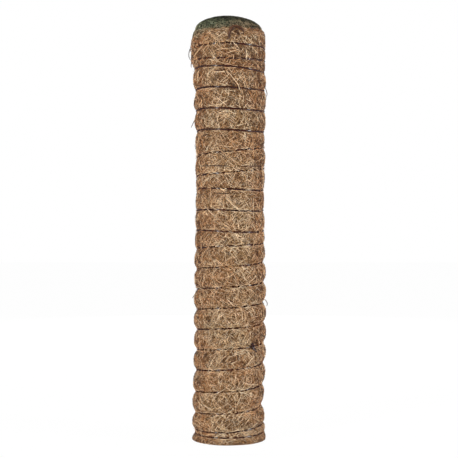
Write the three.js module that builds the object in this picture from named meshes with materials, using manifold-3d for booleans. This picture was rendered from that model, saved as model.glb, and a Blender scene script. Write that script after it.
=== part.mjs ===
// Moss pole for climbing house plants. A plastic pipe is closed at the top by a slip-on domed cap.
// Green netting is drawn over the cap and held under its edge by an elastic band. A mat of coir fibre is
// rolled round the pipe and bound by one dark thread, wound from foot to top and knotted at both ends.
// Millimetres, +Z up. The origin is the middle of the foot, and the front of the pole faces -Y.
import * as THREE from 'three';
import { mergeVertices } from 'three/addons/utils/BufferGeometryUtils.js';
import Module from 'manifold-3d';

const wasm = await Module();
wasm.setup();

// Driving dimensions
const POLE_HEIGHT = 300; // from the foot to the top of the netted dome
const SEAT_GAP = 0.3; // clearance between pieces that rest on each other
const TUBE_DIAMETER = 40;
const TUBE_WALL = 1.9;
const CAP_WALL = 2.4;
const CAP_SKIRT = 22; // how far the cap reaches down over the pipe
const CAP_CROWN = 12; // rise of the cap's dome above its shoulder
const DOME_LEAN = 1.7; // how far the dome's top sits to the left
const NET_THICKNESS = 0.8;
const NET_TAIL = 5; // netting left below the band
const BAND_WIDTH = 5;
const BAND_THICKNESS = 1;
const MAT_AT_FOOT = 4.8; // thickness of the mat between turns of thread
const MAT_AT_WAIST = 3.5;
const MAT_AT_CAP = 2;
const THICK_FOOT_LENGTH = 95; // the mat keeps its thickness at the foot up to here
const FOOT_FLARE_LENGTH = 80; // lengths over which the mat grows thicker, or wider, than at its waist
const CAP_FLARE_LENGTH = 55;
const RIM_RISE = 1.4; // the mat's upper edge above the cap's shoulder
const RIM_ROUND_DEPTH = 9;
const RIM_ROUND_INSET = 1.5;
const THREAD_DIAMETER = 0.9;
const KNOT_LENGTH = 2.8;
const KNOT_HEIGHT = 1.7;
const FOOT_PASS_HEIGHT = 4.7; // lowest pass of the thread across the front, above the foot
const TOP_PASS_DEPTH = 11; // highest pass, below the mat's upper edge
const LONG_RUN_PITCH = 14.3; // evened out so that whole turns fill the height

// How the thread was laid by hand, from the foot up. Each turn climbs by its pitch to its next pass across
// the front. The tip is how far the loop's right side lies below an even helix, which levels that pass.
// Both are shares of the long run's pitch.
const LONG_RUN_TIP = 0.063;
const LAY_BELOW = [
  { turns: 1, pitch: 0.266, tip: 0 },
  { turns: 1, pitch: 0.908, tip: 0.063 },
  { turns: 2, pitch: 1.067, tip: 0.063 },
];
const LAY_ABOVE = [
  { turns: 1, pitch: 0.678, tip: 0.21 },
  { turns: 2, pitch: 1.038, tip: 0.238 },
  { turns: 1, pitch: 0.802, tip: 0.014 },
  { turns: 1, pitch: 1.032, tip: 0.014 },
  { turns: 4, pitch: 1.018, tip: 0.252 },
  { turns: 1, pitch: 0.368, tip: 0.133 },
  { turns: 1, pitch: 0.731, tip: 0.084 },
];

// Shares: of the mat's thickness that the thread presses in, and of a turn that an end runs past its pass
const THREAD_BITE = 0.62;
const END_OVERLAP = 0.42;
const RIGHT_SIDE = 0.25; // shares of a turn at which the thread passes the sides, counted from the front
const LEFT_SIDE = 0.75;
const FULL_BULGE_SPACING = 11; // turns closer than this leave the mat less room to bulge

// Facets: round the turned pieces, along a dome, round the mat and thread, and round the thread's section
const ROUND_FACETS = 40;
const DOME_STEPS = 6;
const RIM_STEPS = 3;
const COLUMNS = 18;
const CREST_LINES = 3;
const SPARE_TURNS = 2;
const THREAD_SIDES = 6;
const KNOT_FACETS = 10;
const LEAST_THREAD_GAP = 0.4;

// Sizes that follow from the driving dimensions
const TUBE_RADIUS = TUBE_DIAMETER / 2;
const BORE_RADIUS = TUBE_RADIUS - TUBE_WALL;
const SOCKET_RADIUS = TUBE_RADIUS + SEAT_GAP;
const CAP_RADIUS = SOCKET_RADIUS + CAP_WALL;
const NET_INNER = CAP_RADIUS + SEAT_GAP;
const NET_OUTER = NET_INNER + NET_THICKNESS;
const TAIL_INNER = TUBE_RADIUS + SEAT_GAP;
const TAIL_OUTER = TAIL_INNER + NET_THICKNESS;
const BAND_INNER = TAIL_OUTER + SEAT_GAP;
const NET_CROWN = CAP_CROWN + SEAT_GAP + NET_THICKNESS;
const SHOULDER_Z = POLE_HEIGHT - NET_CROWN;
const SKIRT_Z = SHOULDER_Z - CAP_SKIRT;
const NET_STEP_Z = SKIRT_Z - SEAT_GAP - NET_THICKNESS;
const BAND_TOP_Z = NET_STEP_Z - SEAT_GAP;
const BAND_FOOT_Z = BAND_TOP_Z - BAND_WIDTH;
const TAIL_Z = BAND_FOOT_Z - NET_TAIL;
const RIM_Z = SHOULDER_Z + RIM_RISE;
const WIDE_BORE_Z = BAND_FOOT_Z - SEAT_GAP;
const THREAD_RADIUS = THREAD_DIAMETER / 2;
const TURN = 2 * Math.PI;
const QUARTER = TURN / 4;

const { clamp, lerp, smoothstep } = THREE.MathUtils;

function rangeOf(count) {
  return Array.from({ length: count }, (_, i) => i);
}

// Turned solid about Z from a profile of [radius, height] points, listed so that the faces point out
function turned(profile, facets) {
  const points = profile.map(([radius, height]) => new THREE.Vector2(radius, height));
  return new THREE.LatheGeometry(points, facets).rotateX(QUARTER);
}

// Quarter of an ellipse from the shoulder to the crown, as [radius, height] points
function domeArc(radius, crown) {
  return rangeOf(DOME_STEPS + 1).map((step) => {
    const angle = (step / DOME_STEPS) * QUARTER;
    return [step === DOME_STEPS ? 0 : radius * Math.cos(angle), SHOULDER_Z + crown * Math.sin(angle)];
  });
}

// Leans everything above the cap's shoulder to the left, as the soft dome sits
function leaned(geometry) {
  const place = geometry.attributes.position;
  for (let i = 0; i < place.count; i++) {
    const rise = Math.max(0, place.getZ(i) - SHOULDER_Z);
    place.setX(i, place.getX(i) - (DOME_LEAN * rise) / NET_CROWN);
  }
  return geometry;
}

// Radius for the corners of a many-sided hole whose flats clear a round piece by the seat gap
function cornersClear(radius) {
  return (radius + SEAT_GAP) / Math.cos(Math.PI / COLUMNS);
}

function solidOf(geometry) {
  const bare = geometry.clone();
  bare.deleteAttribute('normal');
  bare.deleteAttribute('uv');
  const merged = mergeVertices(bare);
  return new wasm.Manifold(new wasm.Mesh({
    numProp: 3,
    vertProperties: new Float32Array(merged.attributes.position.array),
    triVerts: new Uint32Array(merged.index.array),
  }));
}

function geometryOf(solid) {
  const mesh = solid.getMesh();
  const geometry = new THREE.BufferGeometry();
  geometry.setAttribute('position', new THREE.BufferAttribute(new Float32Array(mesh.vertProperties), 3));
  geometry.setIndex(new THREE.BufferAttribute(new Uint32Array(mesh.triVerts), 1));
  geometry.computeVertexNormals();
  return geometry;
}

function geometryFrom(points, triangles) {
  const geometry = new THREE.BufferGeometry().setFromPoints(points);
  geometry.setIndex(triangles.flat());
  geometry.computeVertexNormals();
  return geometry;
}

function coreTube() {
  const top = SHOULDER_Z - SEAT_GAP;
  return turned([
    [BORE_RADIUS, 0], [TUBE_RADIUS, 0], [TUBE_RADIUS, top], [BORE_RADIUS, top], [BORE_RADIUS, 0],
  ], ROUND_FACETS);
}

// The pipe's end seats on the ledge at the shoulder, inside the skirt
function endCap() {
  const outside = domeArc(CAP_RADIUS, CAP_CROWN);
  const inside = domeArc(BORE_RADIUS, CAP_CROWN - CAP_WALL).reverse();
  return leaned(turned([
    ...inside, [SOCKET_RADIUS, SHOULDER_Z], [SOCKET_RADIUS, SKIRT_Z], [CAP_RADIUS, SKIRT_Z], ...outside,
  ], ROUND_FACETS));
}

// The netting goes over the cap, turns in under the skirt and runs down the pipe as a tail
function netCap() {
  const outside = domeArc(NET_OUTER, NET_CROWN);
  const inside = domeArc(NET_INNER, NET_CROWN - NET_THICKNESS).reverse();
  const fold = NET_STEP_Z + NET_THICKNESS;
  return leaned(turned([
    ...inside, [NET_INNER, fold], [TAIL_INNER, fold], [TAIL_INNER, TAIL_Z],
    [TAIL_OUTER, TAIL_Z], [TAIL_OUTER, NET_STEP_Z], [NET_OUTER, NET_STEP_Z], ...outside,
  ], ROUND_FACETS));
}

function netBand() {
  const outer = BAND_INNER + BAND_THICKNESS;
  return turned([
    [BAND_INNER, BAND_FOOT_Z], [outer, BAND_FOOT_Z], [outer, BAND_TOP_Z], [BAND_INNER, BAND_TOP_Z],
    [BAND_INNER, BAND_FOOT_Z],
  ], ROUND_FACETS);
}

// Mat thickness and crest radius at a height: thick at the foot, slim at the waist, wider over the cap
function flares(height) {
  return {
    foot: 1 - smoothstep(height, THICK_FOOT_LENGTH, THICK_FOOT_LENGTH + FOOT_FLARE_LENGTH),
    cap: smoothstep(height, WIDE_BORE_Z - CAP_FLARE_LENGTH, WIDE_BORE_Z),
  };
}

function matThickness(height) {
  const { foot, cap } = flares(height);
  return MAT_AT_WAIST + (MAT_AT_FOOT - MAT_AT_WAIST) * foot + (MAT_AT_CAP - MAT_AT_WAIST) * cap;
}

function crestRadius(height) {
  const { cap } = flares(height);
  const inner = cornersClear(lerp(TUBE_RADIUS, NET_OUTER, cap));
  return inner + matThickness(height);
}

function grooveRadius(height) {
  return crestRadius(height) - THREAD_BITE * matThickness(height);
}

// The rows of turns from the foot up, in millimetres. The long run takes the whole turns that fill what the
// other rows leave of the height.
function rowsOfTurns() {
  const sized = ({ turns, pitch, tip }) => {
    return { turns, pitch: pitch * LONG_RUN_PITCH, tip: tip * LONG_RUN_PITCH };
  };
  const [below, above] = [LAY_BELOW.map(sized), LAY_ABOVE.map(sized)];
  const laid = [...below, ...above].reduce((sum, row) => sum + row.turns * row.pitch, 0);
  const climb = RIM_Z - TOP_PASS_DEPTH - FOOT_PASS_HEIGHT - laid;
  const turns = Math.round(climb / LONG_RUN_PITCH);
  return [...below, { turns, pitch: climb / turns, tip: LONG_RUN_TIP * LONG_RUN_PITCH }, ...above];
}

// Every pass of the thread across the front: its height, and how far its loop is tipped towards level
function frontPasses() {
  const passes = [{ height: FOOT_PASS_HEIGHT, tip: 0 }];
  for (const { turns, pitch, tip } of rowsOfTurns()) {
    for (let turn = 0; turn < turns; turn++) passes.push({ height: passes.at(-1).height + pitch, tip });
  }
  return passes;
}

const PASSES = frontPasses();
const LAST_TURN = PASSES.length - 1;

// Past its ends the winding goes on at the long run's pitch, so that the mat's bulges do too
function passAt(index) {
  const kept = clamp(index, 0, LAST_TURN);
  const { height, tip } = PASSES[kept];
  return { height: height + (index - kept) * LONG_RUN_PITCH, tip };
}

// Share of a turn's climb that is done. The ends lie level for the overlap past the first and last pass.
function climbDone(index, part) {
  if (index < 0) return smoothstep(part, 0, 1 - END_OVERLAP);
  return index < LAST_TURN ? part : smoothstep(part, END_OVERLAP, 1);
}

// Height of the thread after so many turns. Whole turns cross the front, quarter turns the right side.
function threadHeight(turns) {
  const index = Math.floor(turns);
  const part = turns - index;
  const [here, next] = [passAt(index), passAt(index + 1)];
  const tip = lerp(here.tip, next.tip, smoothstep(part, RIGHT_SIDE, LEFT_SIDE));
  return lerp(here.height, next.height, climbDone(index, part)) - tip * Math.sin(turns * TURN);
}

function onPole(turns, radius, height) {
  const angle = turns * TURN;
  return new THREE.Vector3(radius * Math.sin(angle), -radius * Math.cos(angle), height);
}

function threadPoint(turns) {
  const height = threadHeight(turns);
  return onPole(turns, grooveRadius(height) + SEAT_GAP + THREAD_RADIUS, height);
}

// The mat's outside as a screw: one groove under the thread, and two crest lines up to its next turn
function screwPoint(step, line) {
  const turns = step / COLUMNS;
  const spacing = threadHeight(turns + 1) - threadHeight(turns);
  const height = threadHeight(turns) + (spacing * line) / CREST_LINES;
  const bound = turns >= -END_OVERLAP && turns <= LAST_TURN + END_OVERLAP;
  if (line === 0 && bound) return onPole(turns, grooveRadius(height), height);
  const bulge = Math.min(1, spacing / FULL_BULGE_SPACING);
  const sunk = THREAD_BITE * matThickness(height) * (1 - bulge);
  return onPole(turns, crestRadius(height) - sunk, height);
}

// Number of a screw point; the line past the last crest is the groove one turn on
function screwIndex(step, line) {
  return (line < CREST_LINES ? step : step + COLUMNS) * CREST_LINES + (line % CREST_LINES);
}

function screwSide(steps) {
  const triangles = [];
  for (let step = 0; step < steps; step++) {
    const lines = step + COLUMNS < steps ? CREST_LINES : CREST_LINES - 1;
    for (let line = 0; line < lines; line++) {
      const [a, b] = [screwIndex(step, line), screwIndex(step + 1, line)];
      const [d, c] = [screwIndex(step, line + 1), screwIndex(step + 1, line + 1)];
      triangles.push([a, b, c], [a, c, d]);
    }
  }
  return triangles;
}

// Fan from a point on the axis to an edge that runs once round the screw
function fanTo(middle, edge) {
  return edge.map((corner, i) => [middle, corner, edge[(i + 1) % edge.length]]);
}

// A solid screw longer than the mat, closed at both ends by a fan to the axis
function screwBlank() {
  const first = -SPARE_TURNS * COLUMNS;
  const steps = (LAST_TURN + 2 * SPARE_TURNS) * COLUMNS;
  const lines = rangeOf(CREST_LINES);
  const points = rangeOf(steps + 1).flatMap((step) => lines.map((line) => screwPoint(first + step, line)));
  const top = CREST_LINES - 1;
  const round = rangeOf(COLUMNS);
  const lower = [
    ...lines.map((line) => screwIndex(0, line)),
    ...round.map((i) => screwIndex(COLUMNS - i, 0)),
  ];
  const upper = [
    ...lines.map((line) => screwIndex(steps, line)).reverse(),
    ...round.map((i) => screwIndex(steps - COLUMNS + i, top)),
  ];
  const foot = points.push(new THREE.Vector3(0, 0, points[0].z)) - 1;
  const head = points.push(new THREE.Vector3(0, 0, points[foot - 1].z)) - 1;
  return geometryFrom(points, [...screwSide(steps), ...fanTo(foot, lower), ...fanTo(head, upper)]);
}

// What the mat keeps of the screw: flat at the foot, rounded over towards the rim
function matEnvelope() {
  const outer = crestRadius(RIM_Z);
  const round = rangeOf(RIM_STEPS + 1).map((step) => {
    const angle = (step / RIM_STEPS) * QUARTER;
    return [
      outer - RIM_ROUND_INSET * (1 - Math.cos(angle)),
      RIM_Z - RIM_ROUND_DEPTH * (1 - Math.sin(angle)),
    ];
  });
  const wide = 2 * outer;
  return turned([[0, 0], [wide, 0], [wide, RIM_Z - RIM_ROUND_DEPTH], ...round, [0, RIM_Z]], COLUMNS);
}

// Room inside the mat for the pipe, then the netting's tail, then the band and the netted cap
function matBore() {
  const beyond = POLE_HEIGHT;
  const tube = cornersClear(TUBE_RADIUS);
  const tail = cornersClear(TAIL_OUTER);
  const cap = cornersClear(NET_OUTER);
  const tailFoot = TAIL_Z - SEAT_GAP;
  return turned([
    [0, -beyond], [tube, -beyond], [tube, tailFoot], [tail, tailFoot], [tail, WIDE_BORE_Z],
    [cap, WIDE_BORE_Z], [cap, beyond], [0, beyond],
  ], COLUMNS);
}

function coirMat() {
  return geometryOf(solidOf(screwBlank()).intersect(solidOf(matEnvelope())).subtract(solidOf(matBore())));
}

// The thread's middle line, with both ends run straight for one diameter
function threadLine() {
  const start = -END_OVERLAP;
  const end = LAST_TURN + END_OVERLAP;
  const inner = rangeOf(Math.ceil((end - start) * COLUMNS))
    .map((i) => Math.ceil(start * COLUMNS) + i)
    .filter((step) => step > start * COLUMNS && step < end * COLUMNS)
    .map((step) => threadPoint(step / COLUMNS));
  const line = [threadPoint(start), ...inner, threadPoint(end)];
  const past = (tip, before) => tip.clone().sub(before).setLength(THREAD_DIAMETER).add(tip);
  return [past(line[0], line[1]), ...line, past(line.at(-1), line.at(-2))];
}

const THREAD_LINE = threadLine();

// Directions at a point of the line: along it, and out from the pole's axis square to it
function lineFrame(line, i) {
  const along = line[Math.min(i + 1, line.length - 1)].clone().sub(line[Math.max(i - 1, 0)]).normalize();
  const out = new THREE.Vector3(line[i].x, line[i].y, 0);
  out.addScaledVector(along, -out.dot(along)).normalize();
  return { along, out, up: new THREE.Vector3().crossVectors(along, out) };
}

function threadRing(line, i) {
  const { out, up } = lineFrame(line, i);
  return rangeOf(THREAD_SIDES).map((side) => {
    const angle = ((side + 0.5) / THREAD_SIDES) * TURN;
    return line[i].clone()
      .addScaledVector(out, THREAD_RADIUS * Math.cos(angle))
      .addScaledVector(up, THREAD_RADIUS * Math.sin(angle));
  });
}

function bindingThread() {
  const points = THREAD_LINE.flatMap((_, i) => threadRing(THREAD_LINE, i));
  const last = points.length - THREAD_SIDES;
  const triangles = [];
  for (let ring = 0; ring < last; ring += THREAD_SIDES) {
    for (let side = 0; side < THREAD_SIDES; side++) {
      const [a, b] = [ring + side, ring + ((side + 1) % THREAD_SIDES)];
      triangles.push([a, b, b + THREAD_SIDES], [a, b + THREAD_SIDES, a + THREAD_SIDES]);
    }
  }
  for (let side = 1; side < THREAD_SIDES - 1; side++) {
    triangles.push([0, side + 1, side], [last, last + side, last + side + 1]);
  }
  return geometryFrom(points, triangles);
}

// Least clear gap between turns, measured on the line's points at least half a turn apart
function leastThreadGap() {
  let least = Infinity;
  THREAD_LINE.forEach((point, i) => {
    for (let j = i + COLUMNS / 2; j < THREAD_LINE.length; j++) {
      least = Math.min(least, point.distanceTo(THREAD_LINE[j]) - THREAD_DIAMETER);
    }
  });
  return least;
}

// A knot sits on the mat just past an end of the thread, long way along it; away is 1 or -1 along the line
function knot(end, away) {
  const { along, out, up } = lineFrame(THREAD_LINE, end);
  const middle = THREAD_LINE[end].clone()
    .addScaledVector(along, away * (SEAT_GAP + KNOT_LENGTH / 2))
    .addScaledVector(out, KNOT_HEIGHT / 2);
  const shape = new THREE.SphereGeometry(1, KNOT_FACETS, KNOT_FACETS);
  shape.scale(KNOT_LENGTH / 2, KNOT_HEIGHT / 2, KNOT_HEIGHT / 2);
  const turn = new THREE.Matrix4().makeBasis(along, out, up);
  return shape.applyMatrix4(turn).translate(...middle);
}

const COIR = { color: 0x96765a, roughness: 0.95, metalness: 0 };
const THREAD = { color: 0x32191a, roughness: 0.3, metalness: 0 };
const NET = { color: 0x4c5545, roughness: 0.8, metalness: 0 };
const PIPE = { color: 0xcfcfca, roughness: 0.45, metalness: 0 };
const RUBBER = { color: 0x2a2a28, roughness: 0.7, metalness: 0 };

const pole = new THREE.Group();

function place(name, geometry, finish) {
  const mesh = new THREE.Mesh(geometry, new THREE.MeshStandardMaterial(finish));
  mesh.name = name;
  pole.add(mesh);
}

place('core_tube', coreTube(), PIPE);
place('end_cap', endCap(), PIPE);
place('net_cap', netCap(), NET);
place('net_band', netBand(), RUBBER);
place('coir_mat', coirMat(), COIR);
place('binding_thread', bindingThread(), THREAD);
place('foot_knot', knot(0, -1), THREAD);
place('top_knot', knot(THREAD_LINE.length - 1, 1), THREAD);

const threadGap = leastThreadGap();
console.log(`thread: ${LAST_TURN + 2 * END_OVERLAP} turns, least gap ${threadGap.toFixed(2)} mm`);
if (threadGap < LEAST_THREAD_GAP) throw new Error('turns of the thread lie too close together');

export default pole;
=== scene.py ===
# %% [markdown]
# # A coir moss pole
# A moss pole is a stake for climbing house plants. A mat of coconut fibre, called coir, is rolled round a
# plastic pipe and bound with one dark thread. The top is a pipe cap under green netting.
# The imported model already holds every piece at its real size, so this lesson only dresses it. It lays real
# fibres over the mat, draws the thread as a smooth tube and gives the hidden pipe its plastic.

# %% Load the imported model
import math

import bpy
import numpy as np
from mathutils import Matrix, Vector, noise


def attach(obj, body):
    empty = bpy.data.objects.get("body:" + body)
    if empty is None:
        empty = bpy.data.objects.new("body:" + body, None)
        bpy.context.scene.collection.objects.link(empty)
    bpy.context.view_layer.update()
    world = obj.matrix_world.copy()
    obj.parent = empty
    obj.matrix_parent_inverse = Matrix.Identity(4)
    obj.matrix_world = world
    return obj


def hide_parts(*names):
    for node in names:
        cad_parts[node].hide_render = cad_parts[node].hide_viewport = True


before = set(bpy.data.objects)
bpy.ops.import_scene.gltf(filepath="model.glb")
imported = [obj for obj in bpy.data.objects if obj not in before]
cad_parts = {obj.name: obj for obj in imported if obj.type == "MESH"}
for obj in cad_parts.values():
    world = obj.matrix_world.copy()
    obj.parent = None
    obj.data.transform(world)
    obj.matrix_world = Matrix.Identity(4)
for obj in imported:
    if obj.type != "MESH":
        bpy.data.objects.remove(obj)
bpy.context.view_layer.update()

MM = 0.001
BODY = "root"
print("nodes:", ", ".join(sorted(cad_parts)))

# %% [markdown]
# ## Camera
# The photograph looks almost level at the pole from about 0.8 m. The thread's passes curve up a little above
# eye level and down below it, which gives the height of the camera, and the way the pole's edges close in
# gives the distance. A camera in Blender looks down its own -Z, so it is turned to look along +Y.

# %% Camera at the photograph's angle
IMAGE_SIDE = 458
FOCAL_PIXELS = 1177
CAMERA_PLACE = (0, -835 * MM, 160.4 * MM)
CAMERA_TILT_DOWN = math.radians(0.777)


def show(data):
    """A new object for a camera, lamp, mesh or curve, linked into the scene."""
    made = bpy.data.objects.new(data.name, data)
    bpy.context.scene.collection.objects.link(made)
    return made


camera_data = bpy.data.cameras.new("photo_camera")
camera_data.sensor_fit = "HORIZONTAL"
camera_data.angle = 2 * math.atan(IMAGE_SIDE / 2 / FOCAL_PIXELS)
camera_data.clip_start = 10 * MM
camera = show(camera_data)
camera.location = CAMERA_PLACE
camera.rotation_euler = (math.pi / 2 - CAMERA_TILT_DOWN, 0, 0)
bpy.context.scene.camera = camera
print("field of view:", round(math.degrees(camera_data.angle), 2), "degrees")

# %% [markdown]
# ## Node trees as Python
# Materials and Geometry Nodes are both graphs of nodes. Building them by hand takes many clicks, and building
# them with plain API calls takes many lines. One small class that wraps an output socket lets a sum be
# written as a sum. A second class holds the tree and makes any other kind of node.

# %% Wires and graphs
class Wire:
    """An output socket of a graph. Arithmetic on it adds Math or Vector Math nodes."""

    def __init__(self, graph, socket):
        self.graph = graph
        self.socket = socket


def add_sign(sign, operation):
    """Lets a wire stand on either side of one of Python's signs."""
    setattr(Wire, f"__{sign}__", lambda wire, other: wire.graph.maths(operation, wire, other))
    setattr(Wire, f"__r{sign}__", lambda wire, other: wire.graph.maths(operation, other, wire))


add_sign("add", "ADD")
add_sign("sub", "SUBTRACT")
add_sign("mul", "MULTIPLY")
add_sign("truediv", "DIVIDE")
add_sign("pow", "POWER")


def is_vector(value):
    if isinstance(value, Wire):
        return value.socket.type == "VECTOR"
    return isinstance(value, (tuple, list, Vector))


class Graph:
    """A node tree, and the one way that this file adds nodes to it."""

    def __init__(self, tree):
        self.tree = tree

    def add(self, kind, *values, out=0, **named):
        """Values feed sockets in turn. A name with a capital is a socket, with underscores for spaces,
        and any other name is a setting."""
        made = self.tree.nodes.new(kind)
        sockets = dict(enumerate(values))
        for name, value in named.items():
            if name[0].isupper():
                sockets[name.replace("_", " ")] = value
            elif name == "stops":
                self.set_stops(made.color_ramp, value)
            else:
                setattr(made, name, value)
        for name, value in sockets.items():
            self.feed(self.find(made.inputs, name), value)
        if isinstance(out, tuple):
            return tuple(Wire(self, self.find(made.outputs, name)) for name in out)
        return Wire(self, self.find(made.outputs, out)) if made.outputs else made

    def find(self, sockets, name):
        shown = [s for s in sockets if not s.is_unavailable]
        return shown[name] if isinstance(name, int) else next(s for s in shown if s.name == name)

    def feed(self, socket, value):
        if isinstance(value, Wire):
            self.tree.links.new(value.socket, socket)
        else:
            socket.default_value = value

    def set_stops(self, ramp, stops):
        while len(ramp.elements) < len(stops):
            ramp.elements.new(0.5)
        for element, (place, colour) in zip(ramp.elements, stops):
            element.position = place
            element.color = (*colour, 1)

    def maths(self, operation, a, b):
        if not (is_vector(a) or is_vector(b)):
            return self.call(operation, a, b)
        if operation == "MULTIPLY" and not (is_vector(a) and is_vector(b)):
            vector, number = (a, b) if is_vector(a) else (b, a)
            return self.add("ShaderNodeVectorMath", operation="SCALE", Vector=vector, Scale=number)
        return self.vector(operation, a, b)

    def call(self, operation, *values):
        return self.add("ShaderNodeMath", *values, operation=operation)

    def vector(self, operation, *values):
        return self.add("ShaderNodeVectorMath", *values, operation=operation)

    def limit(self, value):
        return self.add("ShaderNodeClamp", Value=value, Min=0.0, Max=1.0)

    def split(self, vector):
        return self.add("ShaderNodeSeparateXYZ", vector, out=("X", "Y", "Z"))

    def join(self, x, y, z=0.0):
        return self.add("ShaderNodeCombineXYZ", X=x, Y=y, Z=z)


def fresh_graph(owner):
    """An empty graph for a material or a world."""
    owner.use_nodes = True
    owner.node_tree.nodes.clear()
    return Graph(owner.node_tree)


def linear(red, green, blue):
    """A colour as an image editor shows it, 0 to 255, turned into Blender's linear light."""
    shares = np.array([red, green, blue]) / 255
    return tuple(np.where(shares <= 0.04045, shares / 12.92, ((shares + 0.055) / 1.055) ** 2.4).tolist())


# %% [markdown]
# ## Light and stage
# The thread shows two soft glints on each turn, one left of the middle and one further right. On a round pole
# a glint lies half way between the camera and its lamp, so two narrow lamps stand 42 degrees left and 68
# degrees right. A third lights the back. The rest of the light is even, a little stronger from the front.
# The background is white to the camera and where gloss mirrors it, but it lights the pole less, because a
# white wall all round would wash it out.

# %% World, lamps and floor
WHITE = (1, 1, 1, 1)
EVEN_LIGHT = 0.675
LAMP_DISTANCE = 0.95
LAMP_HEIGHT = 0.30
LAMP_TALL = 0.60
LAMP_AIM = Vector((0, 0, 150 * MM))
FLOOR_REACH = 3.0
FLOOR_GAP = 0.2 * MM
FLOOR_WHITE = 0.975


def new_material(name):
    material = bpy.data.materials.new(name)
    return material, fresh_graph(material)


def new_mesh(name, points, faces):
    mesh = bpy.data.meshes.new(name)
    mesh.from_pydata(points.tolist(), [], [list(face) for face in faces])
    mesh.polygons.foreach_set("use_smooth", [True] * len(mesh.polygons))
    mesh.update()
    return mesh


def seen_directly(graph, mirrored=1.0):
    """1 for rays from the camera, and the mirrored share for what gloss and glass show, else 0."""
    kinds = ("Is Camera Ray", "Is Glossy Ray", "Is Transmission Ray")
    seen, glossy, through = graph.add("ShaderNodeLightPath", out=kinds)
    return graph.call("MAXIMUM", seen, graph.call("MAXIMUM", glossy, through) * mirrored)


def setup_world():
    world = bpy.data.worlds.new("studio")
    graph = fresh_graph(world)
    _, back, _ = graph.split(graph.add("ShaderNodeTexCoord", out="Generated"))
    glossy = graph.add("ShaderNodeLightPath", out="Is Glossy Ray")
    # Stronger from the front, and dimmer where gloss mirrors it
    strength = EVEN_LIGHT * (0.8 - 0.2 * back) * (1 - 0.7 * glossy)
    lit = graph.add("ShaderNodeBackground", Color=WHITE, Strength=strength)
    white = graph.add("ShaderNodeBackground", Color=WHITE, Strength=1.0)
    share = seen_directly(graph, graph.limit(back * 2 + 0.5))
    mixed = graph.add("ShaderNodeMixShader", share, lit, white)
    graph.add("ShaderNodeOutputWorld", Surface=mixed)
    bpy.context.scene.world = world


def add_lamp(name, degrees_right, width, watts):
    data = bpy.data.lights.new(name, "AREA")
    data.shape = "RECTANGLE"
    data.size, data.size_y = width, LAMP_TALL
    data.energy = watts
    lamp = show(data)
    angle = math.radians(degrees_right)
    lamp.location = (LAMP_DISTANCE * math.sin(angle), -LAMP_DISTANCE * math.cos(angle), LAMP_HEIGHT)
    lamp.rotation_euler = (LAMP_AIM - lamp.location).to_track_quat("-Z", "Y").to_euler()


def add_floor():
    material, graph = new_material("studio_floor")
    paper = graph.add("ShaderNodeBsdfDiffuse", Color=(0.95, 0.95, 0.95, 1))
    white = graph.add("ShaderNodeEmission", Color=WHITE, Strength=1.0)
    share = seen_directly(graph) * FLOOR_WHITE
    mixed = graph.add("ShaderNodeMixShader", share, paper, white)
    graph.add("ShaderNodeOutputMaterial", Surface=mixed)
    corners = np.array([(-1, -1, 0), (1, -1, 0), (1, 1, 0), (-1, 1, 0)]) * FLOOR_REACH
    made = show(new_mesh("studio_floor", corners, [(0, 1, 2, 3)]))
    made.data.materials.append(material)
    made.location.z = -FLOOR_GAP
    return made


bpy.context.scene.view_settings.view_transform = "Standard"
setup_world()
add_lamp("left_softbox", degrees_right=-42, width=0.06, watts=8.4)
add_lamp("right_softbox", degrees_right=68, width=0.06, watts=8.4)
add_lamp("back_softbox", degrees_right=180, width=0.30, watts=6.5)
floor = add_floor()
print("lamps:", len(bpy.data.lights))

# %% [markdown]
# ## The rule of the winding
# One thread runs from the foot to the top in 22 turns, and the mat bulges between its turns. Everything on
# this pole follows that rule: the mat, the grooves and the thread itself. So the rule is written once, as a
# height for any number of turns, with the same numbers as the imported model.

# %% Heights and radii of the mat and thread
POLE_HEIGHT = 300 * MM
TUBE_RADIUS = 20 * MM
NET_RADIUS = 23.8 * MM
NET_CROWN = 13.1 * MM
SHOULDER = POLE_HEIGHT - NET_CROWN
DOME_LEAN = 1.7 * MM
RIM = SHOULDER + 1.4 * MM
WIDE_BORE = 258.2 * MM
TAIL_FOOT = 253.2 * MM
TAIL_RADIUS = 21.1 * MM
SEAT_GAP = 0.3 * MM
CAP_SLOPE = 55 * MM
PACKED_SIDES = 18
LONG_PITCH = 14.3 * MM
FULL_BULGE = 11 * MM
FIRST_PASS = 4.7 * MM
LAST_PASS = RIM - 11 * MM
THREAD_RADIUS = 0.45 * MM
SHOWN_RADIUS = 0.62 * MM
THREAD_BITE = 0.62
END_OVERLAP = 0.42


def ease(x, low, high):
    """0 below the low limit, 1 above the high one, with a smooth climb between them."""
    share = np.clip((x - low) / (high - low), 0, 1)
    return share * share * (3 - 2 * share)


def ease_mm(x, low, high):
    """The same between two limits in millimetres."""
    return ease(x, low * MM, high * MM)


def bell(x, middle, width):
    """1 at the middle, falling to nearly 0 at twice the width from it."""
    return np.exp(-(((x - middle) / width) ** 2))


def near_foot(z):
    """1 in the lower part of the pole, 0 from a little above its middle."""
    return 1 - ease_mm(z, 120, 175)


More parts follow.
